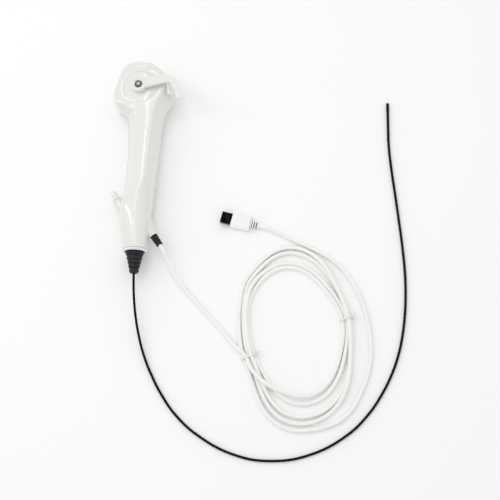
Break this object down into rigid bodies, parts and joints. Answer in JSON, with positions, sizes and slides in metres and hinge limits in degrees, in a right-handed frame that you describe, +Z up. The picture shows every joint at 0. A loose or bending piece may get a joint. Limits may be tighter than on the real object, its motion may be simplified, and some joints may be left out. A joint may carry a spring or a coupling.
{
  "type": "flexible scope camera",
  "caption": "Flexible scope camera: clamshell handle with a thumb lever that bends the camera tip of a long thin tube, a capped side port and a USB lead tied in an oval coil.",
  "frame": {"origin": "foot of the lever's pivot axis on the flat face the handle lies on", "axes": "+Z up from the rest face to the lever side, +Y along the handle from the barrel to the head, +X towards the thumb pad"},
  "size_m": [0.309, 0.4204, 0.043],
  "materials": {
    "white_plastic": "glossy off-white ABS",
    "clear_plastic": "milky translucent plastic",
    "black_rubber": "satin black elastomer",
    "black_tube": "smooth black sheath",
    "white_cable": "satin white PVC",
    "steel": "bright stainless steel",
    "brass": "turned brass",
    "inner_plastic": "grey moulded plastic",
    "board": "green board lacquer",
    "chip": "black moulding compound",
    "lens_glass": "coated glass"
  },
  "bodies": {
    "handle": {"lever_side_shell": "white_plastic", "rest_side_shell": "white_plastic", "shell_screw_1": "steel", "shell_screw_2": "steel", "shell_screw_3": "steel", "shell_screw_4": "steel", "disc_seal": "black_rubber", "bearing_plate": "inner_plastic", "front_bush": "brass", "rear_bush": "brass", "friction_washer": "steel", "coil_pipe_up": "steel", "coil_pipe_down": "steel", "wire_guide": "inner_plastic", "circuit_board": "board", "video_processor": "chip", "board_connector": "clear_plastic", "camera_lead": "black_tube", "usb_lead_inner": "white_cable", "port_gasket": "clear_plastic", "luer_port": "clear_plastic", "channel_junction": "inner_plastic", "channel_tube": "clear_plastic", "nose_ring": "white_plastic", "tube_boot": "black_rubber", "tube_clamp": "brass", "insertion_tube": "black_tube", "bend_collar": "steel", "cable_gland": "black_rubber", "usb_cable_lead": "white_cable", "cable_tie_left": "clear_plastic", "cable_tie_right": "clear_plastic", "usb_cable_coil": "white_cable", "usb_cable_tail": "white_cable", "usb_plug_body": "white_cable", "usb_plug_shell": "steel", "usb_plug_tongue": "white_cable", "usb_plug_contacts": "brass", "usb_plug_relief": "white_cable"},
    "lever": {"thumb_lever": "white_plastic", "hub_screw": "steel", "lever_disc": "white_plastic", "pivot_shaft": "steel", "wire_drum": "inner_plastic"},
    "wire_up": {"pull_wire_up": "steel"},
    "wire_down": {"pull_wire_down": "steel"},
    "cap": {"port_cap": "clear_plastic"},
    "link_pair_1": {"bending_link_1": "steel", "bending_link_2": "steel"},
    "link_pair_2": {"bending_link_3": "steel", "bending_link_4": "steel"},
    "link_pair_3": {"bending_link_5": "steel", "bending_link_6": "steel"},
    "link_pair_4": {"bending_link_7": "steel", "bending_link_8": "steel", "tip_housing": "steel", "tip_lens": "lens_glass", "tip_led_left": "clear_plastic", "tip_led_right": "clear_plastic"}
  },
  "joints": [
    {"name": "lever_swing", "type": "hinge", "parent": "handle", "child": "lever", "pos_m": [0, 0, 0], "axis": [0, 0, 1], "range_deg": [-25, 40]},
    {"name": "wire_up_slide", "type": "slide", "parent": "handle", "child": "wire_up", "axis": [-0.0454, -0.999, 0], "range_m": [-0.0065, 0.004]},
    {"name": "wire_down_slide", "type": "slide", "parent": "handle", "child": "wire_down", "axis": [0.0454, -0.999, 0], "range_m": [-0.004, 0.0065]},
    {"name": "cap_pull", "type": "slide", "parent": "handle", "child": "cap", "axis": [-0.5299, 0.848, 0], "range_m": [0, 0.012]},
    {"name": "bend_1", "type": "hinge", "parent": "handle", "child": "link_pair_1", "pos_m": [0.26193, -0.0475, 0.0016], "axis": [0, 0, 1], "range_deg": [-20, 32]},
    {"name": "bend_2", "type": "hinge", "parent": "link_pair_1", "child": "link_pair_2", "pos_m": [0.26181, -0.0403, 0.0016], "axis": [0, 0, 1], "range_deg": [-20, 32]},
    {"name": "bend_3", "type": "hinge", "parent": "link_pair_2", "child": "link_pair_3", "pos_m": [0.26168, -0.0331, 0.0016], "axis": [0, 0, 1], "range_deg": [-20, 32]},
    {"name": "bend_4", "type": "hinge", "parent": "link_pair_3", "child": "link_pair_4", "pos_m": [0.26155, -0.0259, 0.0016], "axis": [0, 0, 1], "range_deg": [-20, 32]}
  ],
  "couplings": [
    {"joint": "wire_up_slide", "follows": "lever_swing", "m_per_rad": -0.00865},
    {"joint": "wire_down_slide", "follows": "lever_swing", "m_per_rad": 0.00865},
    {"joint": "bend_1", "follows": "lever_swing", "ratio": 0.75},
    {"joint": "bend_2", "follows": "lever_swing", "ratio": 0.75},
    {"joint": "bend_3", "follows": "lever_swing", "ratio": 0.75},
    {"joint": "bend_4", "follows": "lever_swing", "ratio": 0.75}
  ]
}
